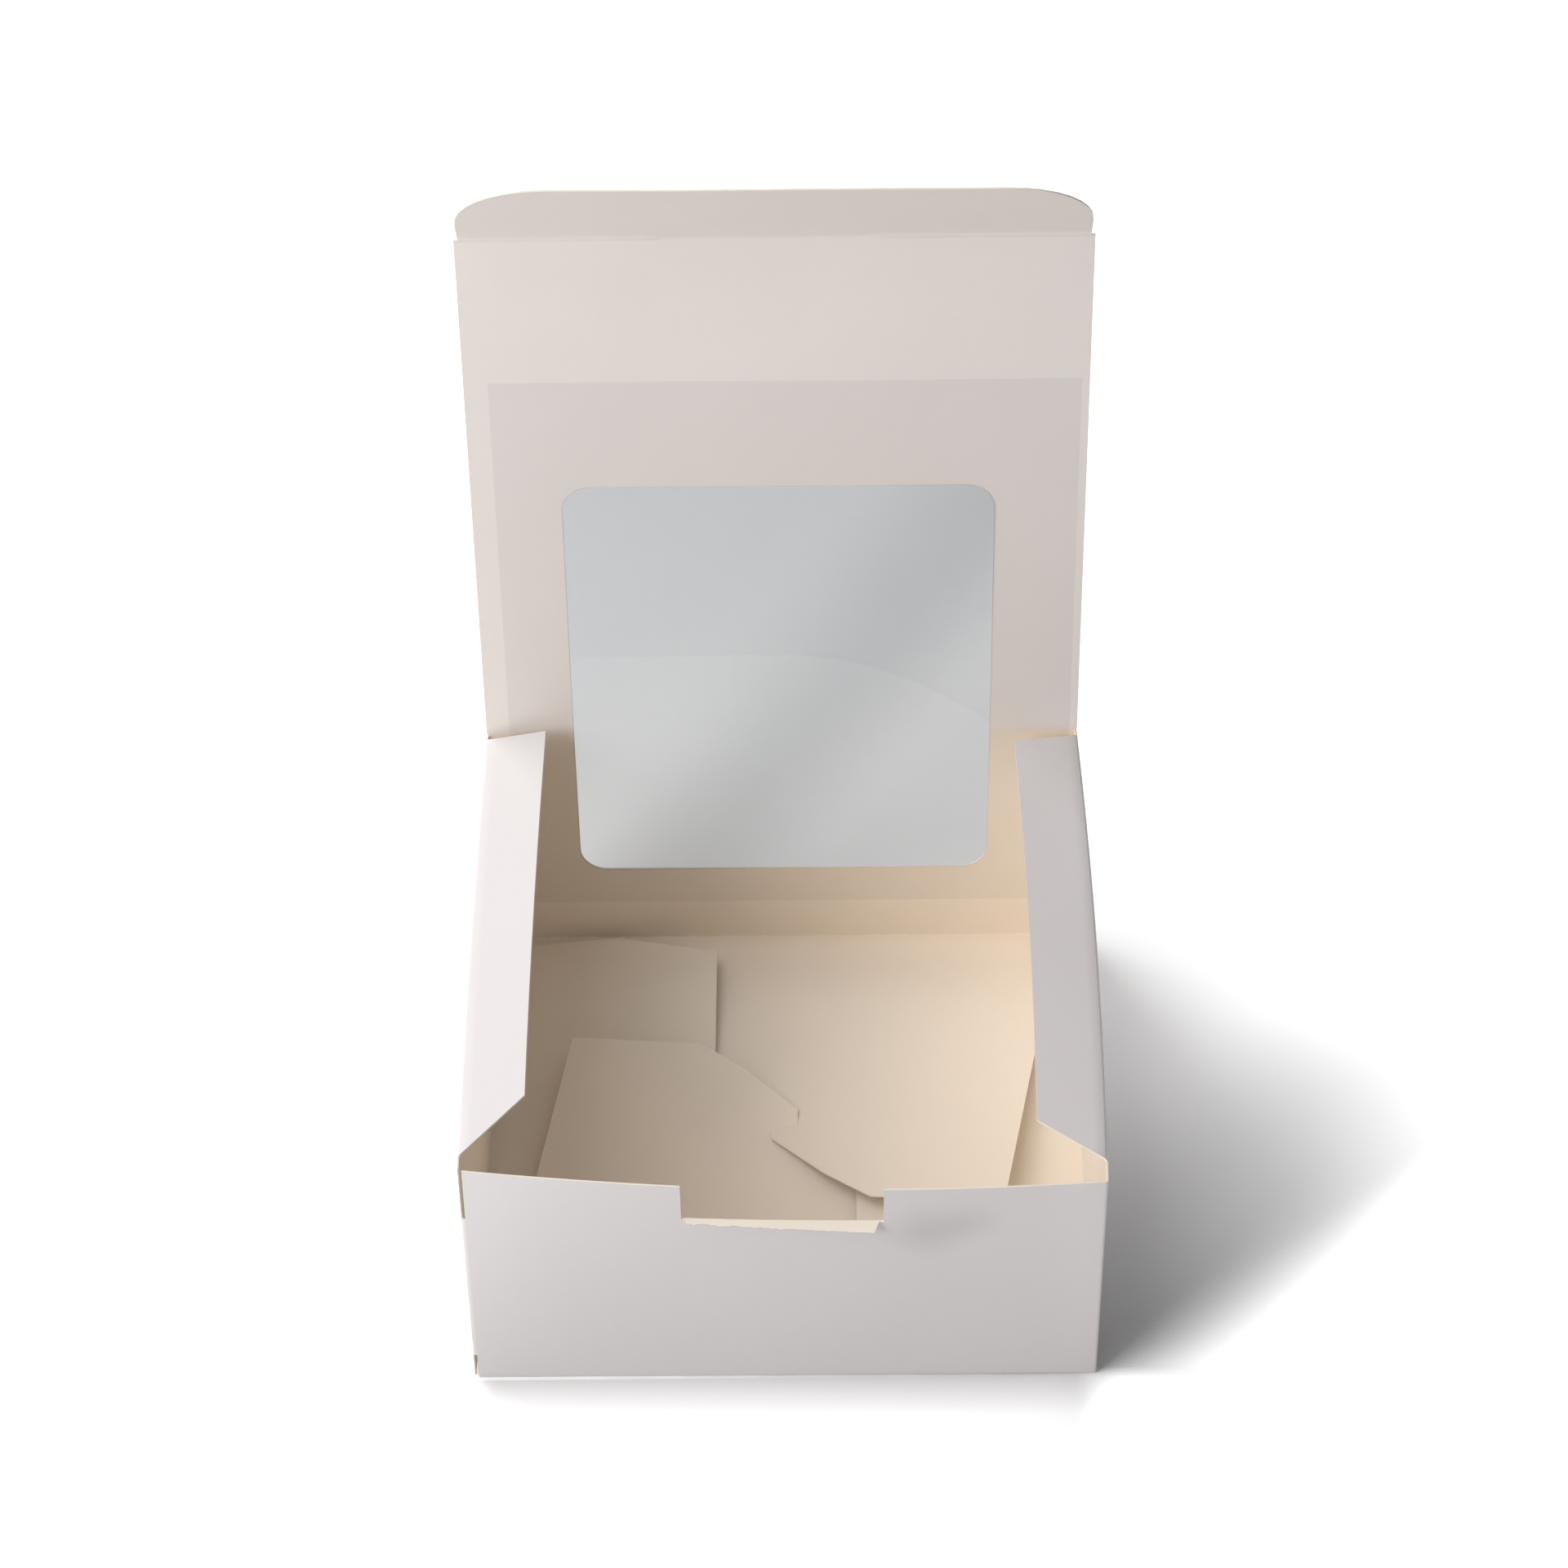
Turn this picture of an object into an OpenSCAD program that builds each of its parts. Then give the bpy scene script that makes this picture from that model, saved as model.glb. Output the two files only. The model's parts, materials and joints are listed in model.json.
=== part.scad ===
// Windowed pastry box, shown open: a tray folded from one white board sheet, with a hinged lid,
// a tuck flap, two dust flaps, a lock bottom and a clear film window that wraps over the back edge.
// The origin is at the middle of the front wall's bottom edge, on the surface that the box rests on.
// X runs to the right as seen from the front, Y runs towards the hinge and Z runs up.

/* [Box] */
// Outer width of the tray
box_w = 152; // [110:1:260]
// Outer depth of the tray, front to back
box_d = 152; // [120:1:260]
// Height of the lid hinge above the table
box_h = 76; // [60:1:130]
// Thickness of the board
board_t = 0.45; // [0.3:0.05:0.7]

/* [Walls as they stand] */
// How far the front wall bows out in the middle of its top edge
front_bow = 4.2; // [0:0.1:8]
// How far the left wall bows out in the middle of its top edge
left_bow = 0.6; // [0:0.1:3]
// How far the right wall bows out in the middle of its top edge
right_bow = 1.3; // [0:0.1:3]
// How far the front wall's left top corner leans in
lean_in = 1; // [0:0.1:3]
// How far the front wall's right top corner leans out
lean_out = 4; // [0:0.1:8]

/* [Thumb notch] */
// Width of the notch in the front wall
notch_w = 47.5; // [20:0.5:80]
// Depth of the notch below the wall's top edge
notch_depth = 12.5; // [6:0.5:25]
// Length of the torn lip at its right end
lip_long = 3; // [2:0.1:6]
// Length of the torn lip at its left end
lip_short = 0.8; // [0.4:0.1:1.5]
// Angle of the lip below level
lip_droop = 35; // [10:1:60]

/* [Lid] */
// Angle that the lid stands open from closed
lid_open = 93.5; // [80:0.5:120]
// Room between the closed tuck flap and the front wall
tuck_room = 1.15; // [1:0.05:3]
// Length of the tuck flap beyond its fold
tuck_len = 30; // [20:1:40]
// Radius of the tuck flap's corners
tuck_r = 21.5; // [5:0.5:24]
// Side clearance of the tuck flap inside the tray
tuck_gap = 0.5; // [0.3:0.1:3]
// Angle that the tuck flap is bent in from the lid
tuck_bend = 35; // [0:1:90]

/* [Window] */
// Width of the window opening
window_w = 107; // [40:1:120]
// Reach of the window from the hinge up the lid
window_up = 76.5; // [30:0.5:100]
// Height of the window's lower edge on the back wall
window_sill = 26; // [20:1:50]
// Radius of the window's corners
window_r = 7; // [3:0.5:15]
// Thickness of the film
film_t = 0.2; // [0.1:0.05:0.3]
// Width of the film
film_w = 144; // [124:1:146]
// Sideways place of the film's middle
film_shift = 2; // [-3:0.5:2]
// Reach of the film from the hinge up the lid
film_up = 108; // [102:1:140]
// Height of the film's lower edge on the back wall
film_low = 14; // [13:1:18]

/* [Dust flaps] */
// Width of each dust flap
flap_w = 16.5; // [8:0.5:40]
// Chamfer at the front of each dust flap
flap_chamfer = 15; // [5:0.5:30]
// Cut back of each dust flap from the back wall, at its crease
flap_back_gap = 2.5; // [1:0.5:6]
// Further cut back at its free edge
flap_back_taper = 2.5; // [0:0.5:10]
// Angle that the left dust flap stands up
left_flap_rise = 18; // [0:1:45]
// Angle that the right dust flap stands up
right_flap_rise = 1.5; // [0:0.5:2]
// Room between the flaps' crease and the closed lid, past the board
flap_room = 0.7; // [0.6:0.1:3]
// Clearance of the flaps' front end behind the closed tuck flap
flap_front_room = 0.5; // [0.3:0.1:2]

/* [Lock bottom] */
// Rise of the upper bottom panels at their free edge
lock_rise = 10; // [6:0.5:12]
// Rise of the lower halves at their outer end
lock_low_rise = 1; // [0:0.5:3]
// Reach of the upper bottom panels past the middle of the floor
lock_reach = 29; // [26:0.5:40]
// Width of each half of the hook at the middle
hook_w = 3.3; // [2:0.1:6]
// Reach of the hook past the middle
hook_reach = 5; // [3:0.5:8]
// Depth of the hook's slit before the middle
hook_slit = 6; // [4:0.5:10]
// Narrowing of the hook from its slit to its tip
hook_taper = 0.1; // [0:0.1:1]
// Gap between a long bottom panel and the side wall at its crease
lock_side_gap = 3; // [1:0.5:8]
// Straight shoulder of the long bottom panels beside their crease
lock_shoulder = 4; // [1:0.5:8]
// Taper of the upper halves' outer edge
lock_taper = 18; // [4:1:30]
// Taper of the lower halves' outer edge
lock_low_taper = 6; // [2:1:12]
// Distance from the middle at which the upper halves' free edge begins to fall towards the hook
lock_fall_start = 21.5; // [14:0.5:30]
// Fall of the free edge at that point
lock_fall = 2.4; // [0:0.1:5]
// Distance from the middle of the bend half-way down to the hook
lock_bend_out = 9.9; // [6:0.1:13]
// Height of that bend past the hook's tip
lock_bend_up = 12.9; // [8:0.1:18]
// Length of the short side panels from the wall
side_panel_len = 58; // [45:1:60]
// Rise of the short side panels at their free edge
side_panel_rise = 6; // [3:0.5:6]
// Gap between a short side panel's straight end and the long wall
side_panel_gap = 4.5; // [2:0.5:8]
// Length of that straight end before its corner is cut back
side_panel_end = 32; // [10:1:44]
// Cut back of the corner at the free edge
side_panel_cut = 7.5; // [2:0.5:15]
// Reach of the free edge's other end from the middle of the floor
side_panel_stop = 12; // [4:1:30]
// Start of a side panel's crease from the far corner
side_panel_start = 16; // [4:1:30]

/* [Glue seam] */
// Width of the glue tab behind the front wall's left end
tab_w = 14; // [8:1:25]
// Height of the glue tab's lower end
tab_low = 8; // [3:0.5:15]
// Height of the glue tab's upper end
tab_top = 57; // [35:1:59]
// Width of the open seam at the front left corner
seam_w = 0.4; // [0.2:0.1:1]

/* [Hidden] */
$fn = 64;

board_white = [0.93, 0.92, 0.90];
board_cream = [0.88, 0.83, 0.76];
film_clear = [0.80, 0.84, 0.86, 0.5];

// Sideways room at each crease, so that two panels can turn past each other
crease_play = 0.02;
// Relief of a panel's end at a crease that folds past square
crease_relief = board_t + 0.03;
// Top of the side and front walls, below the closed lid, its film and a dust flap
wall_top = box_h - 2 * board_t - film_t - flap_room;
lid_len = box_d - board_t - lean_in - tuck_room;
tuck_w = box_w - 2 * board_t - 2 * tuck_gap;
flap_front = box_d - lid_len + board_t + flap_front_room;
notch_z = wall_top - notch_depth;
// Where the film starts beside the hinge, on the lid and on the back wall
film_start = 0.8;
// How far the torn lip stays in from the notch's sides
lip_inset = 1;
// Thickness of the lip's torn outer ply
lip_t = 0.6 * board_t;
// Overshoot of the cutting solids
cut = 2;
// Points along each wall, levels up the wall and stations along the lip
wall_steps = 10;
wall_levels = 5;
lip_steps = 8;

// Share of the full bow at height z, and at share s of a wall's length
function bow_at(s, z) = pow(z / wall_top, 1.5) * 4 * s * (1 - s);

// Corners of the tray's plan at height z, moved in by inset: front left, front right, back right, back left
function corners(z, inset) = [
    [-box_w / 2 + inset, inset + lean_in * z / wall_top],
    [box_w / 2 - inset, inset - lean_out * z / wall_top],
    [box_w / 2 - inset, box_d - inset],
    [-box_w / 2 + inset, box_d - inset]
];
outward = [[0, -1], [1, 0], [0, 1], [-1, 0]];
bows = [front_bow, right_bow, 0, left_bow];

// One ring of the four walls at height z
function ring(z, inset) = [
    for (i = [0:3]) for (k = [0:wall_steps - 1])
        let (s = k / wall_steps, c = corners(z, inset),
             p = c[i] + (c[(i + 1) % 4] - c[i]) * s + outward[i] * bows[i] * bow_at(s, z))
        [p[0], p[1], z]
];

// A point of the front wall at share s of its width, height z and depth behind its outer face
function front_point(s, z, depth) = [
    box_w * (s - 0.5),
    depth + (lean_in * (1 - s) - lean_out * s) * z / wall_top - front_bow * bow_at(s, z),
    z
];

// Two triangles for a four-sided face
function quad(a, b, c, d) = [[a, b, c], [a, c, d]];
function flat1(list) = [for (group = list) for (item = group) item];

// The four walls as one closed band with its bow and leans
module wall_band() {
    n = 4 * wall_steps;
    outer = [for (l = [0:wall_levels]) each ring(wall_top * l / wall_levels, 0)];
    inner = [for (l = [0:wall_levels]) each ring(wall_top * l / wall_levels, board_t)];
    m = len(outer);
    top = wall_levels * n;
    sides = flat1([for (l = [0:wall_levels - 1]) for (j = [0:n - 1])
        let (a = l * n + j, b = l * n + (j + 1) % n, c = b + n, d = a + n)
        concat(quad(a, d, c, b), quad(m + a, m + b, m + c, m + d))]);
    rims = flat1([for (j = [0:n - 1])
        let (a = j, b = (j + 1) % n)
        concat(quad(a, b, m + b, m + a), quad(top + a, m + top + a, m + top + b, top + b))]);
    polyhedron(concat(outer, inner), concat(sides, rims), convexity = 6);
}

// A strip between two rows of points, each row a list of [upper point, lower point] pairs
module strip(near, far) {
    n = len(near);
    points = concat([for (p = near) p[0]], [for (p = far) p[0]], [for (p = near) p[1]], [for (p = far) p[1]]);
    faces = concat(
        flat1([for (k = [0:n - 2]) concat(
            quad(k, n + k, n + k + 1, k + 1),
            quad(2 * n + k, 2 * n + k + 1, 3 * n + k + 1, 3 * n + k),
            quad(k, k + 1, 2 * n + k + 1, 2 * n + k),
            quad(n + k, 3 * n + k, 3 * n + k + 1, n + k + 1))]),
        quad(0, 2 * n, 3 * n, n),
        quad(n - 1, 2 * n - 1, 4 * n - 1, 3 * n - 1));
    polyhedron(points, faces, convexity = 4);
}

// The tab of the left wall, glued behind the front wall
module glue_tab() {
    rows = [for (k = [0:4]) let (s = board_t / box_w + (tab_w / box_w) * k / 4)
        [for (z = [tab_top, tab_low]) [front_point(s, z, 2 * board_t), front_point(s, z, board_t / 2)]]];
    strip([for (r = rows) r[0]], [for (r = rows) r[1]]);
}

// The torn lip, folded out and down at the bottom of the notch
module torn_lip() {
    half = notch_w / 2 - lip_inset;
    rows = [for (k = [0:lip_steps])
        let (u = k / lip_steps, s = 0.5 + half * (2 * u - 1) / box_w,
             reach = lip_short + (lip_long - lip_short) * u,
             root = front_point(s, notch_z, board_t / 2),
             low = front_point(s, notch_z - lip_t, board_t / 2),
             out = reach * [0, -cos(lip_droop), -sin(lip_droop)])
        [[root, low], [root + out, low + out]]];
    strip([for (r = rows) r[1]], [for (r = rows) r[0]]);
}

// Window outline from the crease at y = 0 to reach, with round corners at its far end
module window_shape(reach) {
    translate([-window_w / 2, -cut]) square([window_w, reach - window_r + cut]);
    translate([-window_w / 2 + window_r, 0]) square([window_w - 2 * window_r, reach]);
    for (side = [-1, 1]) translate([side * (window_w / 2 - window_r), reach - window_r]) circle(r = window_r);
}

// A long bottom panel, hinged at the front wall: its left half lies on top and its right half goes under
module long_bottom_panel() {
    middle = box_d / 2;
    half = box_w / 2;
    start = board_t / 2;
    ends = [
        [-half + lock_side_gap, start + lock_shoulder],
        [-half + lock_side_gap + lock_taper, middle + lock_reach],
        [-lock_fall_start, middle + lock_reach - lock_fall],
        [-lock_bend_out, middle + hook_reach + lock_bend_up],
        [hook_w - hook_taper, middle + hook_reach],
        [hook_w, middle - hook_slit],
        [half - lock_side_gap - lock_low_taper, middle - hook_slit],
        [half - lock_side_gap, start + lock_shoulder]
    ];
    rises = [[hook_w, lock_rise], [half - lock_side_gap, lock_low_rise]];
    span = middle + lock_reach;
    function lift(x, y) = lookup(x, rises) * (y - start) / span;
    strip([for (e = ends) [[e[0], start, board_t], [e[0], start, 0]]],
          [for (e = ends) let (z = lift(e[0], e[1])) [[e[0], e[1], z + board_t], [e[0], e[1], z]]]);
}

// A short side panel of the bottom, hinged at the left wall
module short_bottom_panel() {
    translate([-box_w / 2 + board_t / 2, 0, 0])
        rotate([0, -atan(side_panel_rise / side_panel_len), 0])
            linear_extrude(board_t)
                polygon([
                    [0, box_d - side_panel_gap],
                    [side_panel_end, box_d - side_panel_gap],
                    [side_panel_len, box_d - side_panel_gap - side_panel_cut],
                    [side_panel_len, box_d / 2 + side_panel_stop],
                    [0, side_panel_start]
                ]);
}

module half_turn() {
    translate([0, box_d, 0]) rotate(180) children();
}

// The tray: walls, glue tab, lock bottom and torn lip, with the notch, the window and the seam cut
module box_tray() {
    color(board_white) union() {
        difference() {
            union() {
                wall_band();
                translate([-box_w / 2, box_d - board_t, wall_top - cut])
                    cube([box_w, board_t, box_h - crease_relief - wall_top + cut]);
            }
            translate([-notch_w / 2, -front_bow - lean_out - cut, notch_z])
                cube([notch_w, front_bow + lean_out + 2 * cut + board_t, notch_depth + cut]);
            translate([0, box_d + cut, box_h]) rotate([90, 0, 0]) mirror([0, 1, 0])
                linear_extrude(2 * cut + board_t) window_shape(box_h - window_sill);
            translate([-box_w / 2 + board_t, 0, 0]) rotate([-atan(lean_in / wall_top), 0, 0])
                translate([0, -cut, -cut]) cube([seam_w, cut + board_t / 2, box_h + 2 * cut]);
        }
        glue_tab();
        torn_lip();
        long_bottom_panel();
        half_turn() long_bottom_panel();
        short_bottom_panel();
        half_turn() short_bottom_panel();
    }
}

// Lid frame: the hinge line at the origin, Y up the lid and Z out of its inner face
module on_lid() {
    translate([0, box_d, box_h]) rotate([180 - lid_open, 0, 0]) children();
}

module lid_panel() {
    color(board_cream) on_lid() linear_extrude(board_t) difference() {
        translate([-box_w / 2, crease_play]) square([box_w, lid_len - crease_relief - crease_play]);
        window_shape(window_up);
    }
}

module tuck_flap() {
    color(board_cream) on_lid() translate([0, lid_len, 0]) rotate([tuck_bend, 0, 0]) linear_extrude(board_t)
        intersection() {
            translate([-tuck_w / 2, crease_play]) square([tuck_w, tuck_len]);
            union() {
                translate([-tuck_w / 2, 0]) square([tuck_w, tuck_len - tuck_r]);
                translate([-tuck_w / 2 + tuck_r, 0]) square([tuck_w - 2 * tuck_r, tuck_len]);
                for (side = [-1, 1])
                    translate([side * (tuck_w / 2 - tuck_r), tuck_len - tuck_r]) circle(r = tuck_r);
            }
        }
}

// A dust flap as seen on the left, with its crease along the wall's top
module dust_flap(rise, bow) {
    crease = [for (k = [0:wall_steps])
        let (y = flap_front + (box_d - flap_back_gap - flap_front) * k / wall_steps, s = y / box_d)
        [-bow * 4 * s * (1 - s), y]];
    translate([-box_w / 2, 0, wall_top + bow * sin(rise)]) rotate([0, -rise, 0]) linear_extrude(board_t)
        polygon(concat(crease, [
            [flap_w, box_d - flap_back_gap - flap_back_taper],
            [flap_w, flap_front + flap_chamfer]
        ]));
}

module left_dust_flap() {
    color(board_white) dust_flap(left_flap_rise, left_bow);
}

module right_dust_flap() {
    color(board_white) mirror([1, 0, 0]) dust_flap(right_flap_rise, right_bow);
}

module window_film_lid() {
    color(film_clear) on_lid() translate([film_shift - film_w / 2, film_start, board_t])
        cube([film_w, film_up - film_start, film_t]);
}

module window_film_back() {
    color(film_clear) translate([film_shift - film_w / 2, box_d - board_t - film_t, film_low])
        cube([film_w, film_t, box_h - film_start - film_low]);
}

box_tray();
lid_panel();
tuck_flap();
left_dust_flap();
right_dust_flap();
window_film_lid();
window_film_back();
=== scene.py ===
"""A white windowed pastry box that stands open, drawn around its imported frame.

The box is folded from one die-cut sheet of coated board, with a clear film glued behind the window.
Each piece of board is cut out flat as a blank, scored with lines, folded to its place in the frame,
and then given the thickness of the board. Lengths are in metres and the frame's axes are used:
X runs to the right, Y from the front wall to the lid's hinge and Z up.
"""

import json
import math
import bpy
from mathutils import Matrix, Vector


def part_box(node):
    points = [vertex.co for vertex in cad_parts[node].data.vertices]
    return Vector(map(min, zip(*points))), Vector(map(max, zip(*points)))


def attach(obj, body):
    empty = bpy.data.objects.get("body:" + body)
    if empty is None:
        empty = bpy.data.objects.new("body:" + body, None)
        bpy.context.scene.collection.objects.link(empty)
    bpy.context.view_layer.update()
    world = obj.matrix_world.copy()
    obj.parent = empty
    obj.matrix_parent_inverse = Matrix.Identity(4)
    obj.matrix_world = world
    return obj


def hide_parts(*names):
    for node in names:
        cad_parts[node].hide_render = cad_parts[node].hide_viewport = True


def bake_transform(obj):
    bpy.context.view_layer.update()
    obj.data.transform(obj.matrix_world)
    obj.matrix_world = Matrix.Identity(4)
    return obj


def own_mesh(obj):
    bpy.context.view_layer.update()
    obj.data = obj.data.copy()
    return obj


bl_info = {
    "name": "Windowed Pastry Box",
    "version": (1, 0, 0),
    "blender": (4, 5, 0),
    "location": "3D View > Sidebar > Pastry Box",
    "description": "Folds a windowed pastry box from flat blanks of board and film",
    "category": "Add Mesh",
}

import bmesh
import bpy
from bpy.props import FloatProperty, FloatVectorProperty, PointerProperty
from mathutils import Matrix, Vector, noise

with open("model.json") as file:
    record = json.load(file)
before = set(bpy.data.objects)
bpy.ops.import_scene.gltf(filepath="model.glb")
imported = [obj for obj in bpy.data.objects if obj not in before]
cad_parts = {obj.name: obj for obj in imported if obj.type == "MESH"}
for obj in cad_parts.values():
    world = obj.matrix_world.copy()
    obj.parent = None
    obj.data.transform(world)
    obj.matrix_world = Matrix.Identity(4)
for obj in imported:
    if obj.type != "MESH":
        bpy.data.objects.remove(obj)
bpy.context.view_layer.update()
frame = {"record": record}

MM = 0.001


def joint_place(name):
    """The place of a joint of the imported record, at rest."""
    for joint in frame["record"]["behaviour"]["joints"]:
        if joint["name"] == name:
            return Vector(joint["pos_m"])
    raise RuntimeError(f"the frame has no joint named {name}")


# The lid's crease and the tuck flap's crease, both along X
HINGE = joint_place("lid_hinge")
FOLD = joint_place("tuck_hinge")
LID_UP = (FOLD - HINGE).normalized()
LID_IN = Vector((0, -LID_UP.z, LID_UP.y))
LID_LEN = (FOLD - HINGE).length

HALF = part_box("lid_panel")[1].x
WIDTH = 2 * HALF
DEPTH = HINGE.y
WALL_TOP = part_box("left_dust_flap")[0].z
TUCK_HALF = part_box("tuck_flap")[1].x

# Where each wall starts along the blank: front, right, back and left wall, and then the glue tab
WALL_STARTS = [0, WIDTH, WIDTH + DEPTH, 2 * WIDTH + DEPTH, 2 * WIDTH + 2 * DEPTH]
FRONT, RIGHT, BACK, LEFT, TAB = range(5)
OUTWARD = [Vector((0, -1, 0)), Vector((1, 0, 0)), Vector((0, 1, 0)), Vector((-1, 0, 0))]

# How far a moving crease reaches on each side of its line, in the pieces that bend with it
CREASE_REACH = 1.2 * MM
# Share of the way round a fold between two scored lines
FOLD_STEPS = 4
# Spacing of the plain scored lines, which let a blank bow and ripple
GRID = 4 * MM
# Points in a quarter turn of a round corner
ARC_STEPS = 8
# Angle above which an edge of the board is drawn sharp
SHARP_ANGLE = math.radians(40)
# Room beside an edge or a crease in which the unevenness of a sheet fades out
FADE_ROOM = 12 * MM
# Gap between the glue tab and the wall over it, and between the film and the board over it
TAB_GAP = 0.1 * MM
FILM_GAP = 0.04 * MM
# Thickness of the ply that the torn lip is made of
LIP_THICKNESS = 0.25 * MM
# Across the film's band of painted shade, and across the front edge of the painted shadow on the floor
PAINTED_BAND_ACROSS = (-0.83, -0.56, 0)
SHADOW_ACROSS = (0.6, -0.8, 0)
# Height of the curved line in the film above which its painted shade is a little denser, and how much that
# line sags to the right
FILM_SHADE_LINE = (23.2 * MM, 24.4 * MM)
LINE_SAG = 7.9
# Soft grey darker patches on the front wall, right of the notch: middle, reach and strength
DARKER_PATCH_PLACES = (
    ((34 * MM, -5 * MM, 58 * MM), 13 * MM, 0.17),
    ((44 * MM, -5 * MM, 61 * MM), 10 * MM, 0.11),
)


def linear(hex_colour):
    """An sRGB hex colour as linear red, green and blue."""
    parts = [int(hex_colour[at:at + 2], 16) / 255 for at in (1, 3, 5)]
    return [part / 12.92 if part <= 0.04045 else ((part + 0.055) / 1.055) ** 2.4 for part in parts]


def length(name, description, default):
    """A length property in metres."""
    return FloatProperty(name=name, description=description, default=default, unit="LENGTH", precision=5)


def angle(name, description, degrees):
    """An angle property."""
    return FloatProperty(
        name=name, description=description, default=math.radians(degrees), subtype="ANGLE"
    )


def colour(name, description, hex_colour):
    """A colour property, with its default from an sRGB hex value."""
    return FloatVectorProperty(
        name=name, description=description, default=linear(hex_colour), subtype="COLOR",
        size=3, min=0, max=1
    )


class PastryBoxBoard(bpy.types.PropertyGroup):
    """The board and the way its walls stand."""

    thickness: length("Board", "Thickness of the folding board", 0.45 * MM)
    fold_radius: length("Fold radius", "Reach of a fold's round on each side of its line", 0.7 * MM)
    front_bow: length("Front bow", "How far the front wall bows out at its top", 4.2 * MM)
    right_bow: length("Right bow", "How far the right wall bows out at its top", 1.3 * MM)
    left_bow: length("Left bow", "How far the left wall bows out at its top", 0.6 * MM)
    lean_in: length("Lean in", "How far the left front corner leans in at its top", 1 * MM)
    lean_out: length("Lean out", "How far the right front corner leans out at its top", 4 * MM)
    seam: length("Seam", "Gap between the front wall's left end and the corner", 0.7 * MM)
    tab_width: length("Glue tab", "Width of the tab glued behind the front wall", 14 * MM)
    tab_low: length("Tab low end", "Height of the glue tab's lower end", 8 * MM)
    tab_top: length("Tab top end", "Height of the glue tab's upper end", 57 * MM)


class PastryBoxNotch(bpy.types.PropertyGroup):
    """The thumb notch and the torn lip at its bottom."""

    width: length("Notch width", "Width of the thumb notch", 47.5 * MM)
    depth: length("Notch depth", "Depth of the thumb notch", 12.5 * MM)
    lip_long: length("Lip, right", "Length of the torn lip at its right end", 2.7 * MM)
    lip_short: length("Lip, left", "Length of the torn lip at its left end", 0.8 * MM)
    lip_inset: length("Lip inset", "How far the lip stays in from the notch's sides", 1 * MM)
    droop_left: angle("Left droop", "Angle of the lip below level at its left end", 62)
    droop_right: angle("Right droop", "Angle of the lip below level at its right end", 35)


class PastryBoxBottom(bpy.types.PropertyGroup):
    """The lock bottom, two long hooked panels over two short side panels."""

    rise: length("Rise", "Rise of the upper halves at their free edge", 10 * MM)
    low_rise: length("Low rise", "Rise of the lower halves at their outer end", 1 * MM)
    reach: length("Reach", "Reach of the upper halves past the middle", 29 * MM)
    hook_width: length("Hook width", "Half width of the hook", 3.3 * MM)
    hook_reach: length("Hook reach", "Reach of the hook past the middle", 5 * MM)
    hook_slit: length("Hook slit", "Depth of the hook's slit before the middle", 6 * MM)
    side_gap: length("Side gap", "Gap from a long panel to the corner", 3 * MM)
    shoulder: length("Shoulder", "Straight shoulder of a long panel", 4 * MM)
    taper: length("Taper", "Taper of the upper halves", 18 * MM)
    low_taper: length("Low taper", "Taper of the lower halves", 6 * MM)
    fall_start: length("Fall start", "Where the free edge starts to fall to the hook", 21.5 * MM)
    fall: length("Fall", "Fall of the free edge at that place", 2.4 * MM)
    bend_out: length("Bend", "Distance of the next bend from the middle", 9.9 * MM)
    bend_up: length("Bend reach", "Reach of that bend past the hook's tip", 12.9 * MM)
    side_reach: length("Side panel", "Length of the short panels", 58 * MM)
    side_rise: length("Side rise", "Rise of the short panels at their free edge", 6 * MM)
    side_end_gap: length("Side end gap", "Gap at a short panel's straight end", 4.5 * MM)
    side_end: length("Side end", "Length of that straight end", 32 * MM)
    side_cut: length("Side cut", "Cut back of its corner", 7.5 * MM)
    side_stop: length("Side stop", "Reach of the free edge's other end from the middle", 12 * MM)
    side_start: length("Side start", "Start of a short panel's crease from the far corner", 16 * MM)
    slit: length("Perforation", "Length of each slit in a perforated crease", 12 * MM)
    slit_pitch: length("Perforation pitch", "Distance from slit to slit", 19 * MM)
    slit_gap: length("Perforation gap", "Width of each slit", 0.3 * MM)


class PastryBoxFlaps(bpy.types.PropertyGroup):
    """The two dust flaps."""

    width: length("Flap width", "Width of each dust flap", 16.5 * MM)
    chamfer: length("Chamfer", "Chamfer at the front of each dust flap", 15 * MM)
    front: length("Front", "Start of the left flap's crease from the front corner", 3.55 * MM)
    right_front: length("Right front", "The same of the right flap, whose corner leans out", 6.3 * MM)
    back_gap: length("Back gap", "Cut back from the back wall at the crease", 2.5 * MM)
    back_taper: length("Back taper", "Further cut back at the free edge", 2.5 * MM)
    left_rise: angle("Left rise", "Angle that the left flap stands up", 18)
    right_rise: angle("Right rise", "Angle that the right flap stands up", 1.5)


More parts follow.
